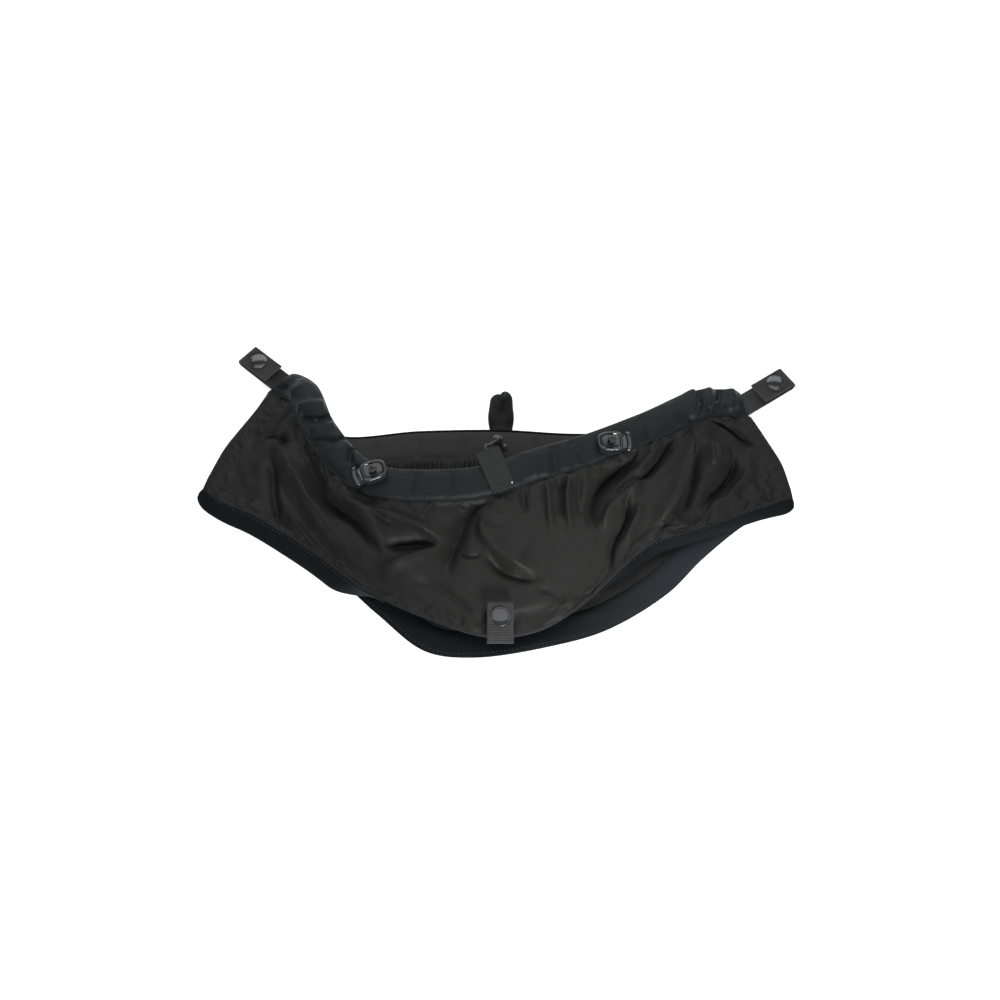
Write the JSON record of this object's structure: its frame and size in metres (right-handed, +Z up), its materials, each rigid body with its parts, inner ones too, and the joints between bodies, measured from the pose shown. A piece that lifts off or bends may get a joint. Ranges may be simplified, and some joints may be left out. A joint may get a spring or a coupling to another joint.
{
  "type": "kayak spray skirt tunnel",
  "caption": "Soft black spray skirt waist tunnel laid flat, with a drawcord waistband, cord locks, folding snap tabs and a grab loop.",
  "frame": {"origin": "on the bench, under the middle of the whole laid-out skirt", "axes": "+Z up from the bench, +Y from the hem opening to the waist opening, +X to the wearer's left as the front lies upwards"},
  "size_m": [0.4864, 0.2852, 0.045],
  "materials": {
    "panel_nylon": "matt coated nylon cloth, softly creased",
    "band_fabric": "smooth nylon casing with a dull sheen",
    "hem_fabric": "folded nylon hem, close weave",
    "webbing": "ribbed nylon webbing",
    "elastic": "knitted elastic tape",
    "cord": "braided cord",
    "moulded_plastic": "moulded black plastic, semi-gloss",
    "snap_metal": "black enamelled brass, glossy",
    "steel": "dark nickel plate"
  },
  "bodies": {
    "root": {"front_panel": "panel_nylon", "back_panel": "panel_nylon", "waistband_front": "band_fabric", "waistband_back": "band_fabric", "waist_elastic": "elastic", "front_hem": "hem_fabric", "back_hem": "hem_fabric", "left_side_tape": "hem_fabric", "right_side_tape": "hem_fabric", "rear_pull_ball": "moulded_plastic", "rear_pull_bead": "moulded_plastic", "rear_pull_cord": "cord", "left_eyelet": "steel", "left_drawcord": "cord", "right_eyelet": "steel", "right_drawcord": "cord"},
    "left_tab": {"left_tab_strap": "webbing", "left_snap_stud": "snap_metal", "left_snap_rivet": "snap_metal"},
    "left_flap": {"left_tab_flap": "webbing", "left_snap_cap": "snap_metal", "left_snap_socket": "snap_metal"},
    "right_tab": {"right_tab_strap": "webbing", "right_snap_stud": "snap_metal", "right_snap_rivet": "snap_metal"},
    "right_flap": {"right_tab_flap": "webbing", "right_snap_cap": "snap_metal", "right_snap_socket": "snap_metal"},
    "front_tab": {"front_tab_strap": "webbing", "front_snap_stud": "snap_metal", "front_snap_rivet": "snap_metal"},
    "front_flap": {"front_tab_flap": "webbing", "front_snap_cap": "snap_metal", "front_snap_socket": "snap_metal"},
    "left_lock": {"left_lock_body": "moulded_plastic", "left_lock_spring": "steel"},
    "left_plunger": {"left_lock_plunger": "moulded_plastic"},
    "left_cord_end": {"left_cord_knot": "cord"},
    "right_lock": {"right_lock_body": "moulded_plastic", "right_lock_spring": "steel"},
    "right_plunger": {"right_lock_plunger": "moulded_plastic"},
    "right_cord_end": {"right_cord_knot": "cord"},
    "rear_loop": {"rear_grab_loop": "webbing"},
    "rear_pull": {"rear_pull_tab": "webbing"}
  },
  "joints": [
    {"name": "left_tab_swing", "type": "hinge", "parent": "root", "child": "left_tab", "pos_m": [-0.19067, 0.10749, 0.0058], "axis": [0.6561, 0.7547, 0], "range_deg": [0, 85]},
    {"name": "left_flap_open", "type": "hinge", "parent": "left_tab", "child": "left_flap", "pos_m": [-0.21953, 0.13259, 0.0111], "axis": [-0.6561, -0.7547, 0], "range_deg": [0, 150]},
    {"name": "right_tab_swing", "type": "hinge", "parent": "root", "child": "right_tab", "pos_m": [0.20283, 0.08791, 0.0058], "axis": [0.5592, -0.829, 0], "range_deg": [0, 85]},
    {"name": "right_flap_open", "type": "hinge", "parent": "right_tab", "child": "right_flap", "pos_m": [0.23454, 0.1093, 0.0111], "axis": [-0.5592, 0.829, 0], "range_deg": [0, 150]},
    {"name": "front_tab_swing", "type": "hinge", "parent": "root", "child": "front_tab", "pos_m": [-0.00583, -0.13199, 0.01811], "axis": [1, 0, 0], "range_deg": [0, 105]},
    {"name": "front_flap_open", "type": "hinge", "parent": "front_tab", "child": "front_flap", "pos_m": [-0.00583, -0.11169, 0.02943], "axis": [-1, 0, 0], "range_deg": [0, 130]},
    {"name": "left_lock_swivel", "type": "hinge", "parent": "root", "child": "left_lock", "pos_m": [-0.10537, 0.00049, 0.03154], "axis": [-0.0905, -0.0876, 0.992], "range_deg": [-25, 25]},
    {"name": "left_lock_press", "type": "slide", "parent": "left_lock", "child": "left_plunger", "axis": [0.9469, 0.301, 0.113], "range_m": [0, 0.0035], "stiffness_N_per_m": 300, "springref_m": -0.003, "deforming": ["left_lock_spring"]},
    {"name": "left_cord_draw", "type": "slide", "parent": "root", "child": "left_cord_end", "axis": [-0.0905, -0.0876, 0.992], "range_m": [0, 0.025]},
    {"name": "right_lock_swivel", "type": "hinge", "parent": "root", "child": "right_lock", "pos_m": [0.08192, 0.02784, 0.03129], "axis": [0.0823, -0.0861, 0.9929], "range_deg": [-25, 25]},
    {"name": "right_lock_press", "type": "slide", "parent": "right_lock", "child": "right_plunger", "axis": [-0.9952, -0.0592, 0.0774], "range_m": [0, 0.0035], "stiffness_N_per_m": 300, "springref_m": -0.003, "deforming": ["right_lock_spring"]},
    {"name": "right_cord_draw", "type": "slide", "parent": "root", "child": "right_cord_end", "axis": [0.0823, -0.0861, 0.9929], "range_m": [0, 0.025]},
    {"name": "rear_loop_lift", "type": "hinge", "parent": "root", "child": "rear_loop", "pos_m": [-0.00604, 0.05967, 0.0036], "axis": [1, 0, 0], "range_deg": [0, 78]},
    {"name": "rear_pull_lift", "type": "hinge", "parent": "root", "child": "rear_pull", "pos_m": [-0.01665, 0.02019, 0.03923], "axis": [-0.9203, -0.3907, -0.0187], "range_deg": [0, 75]}
  ]
}
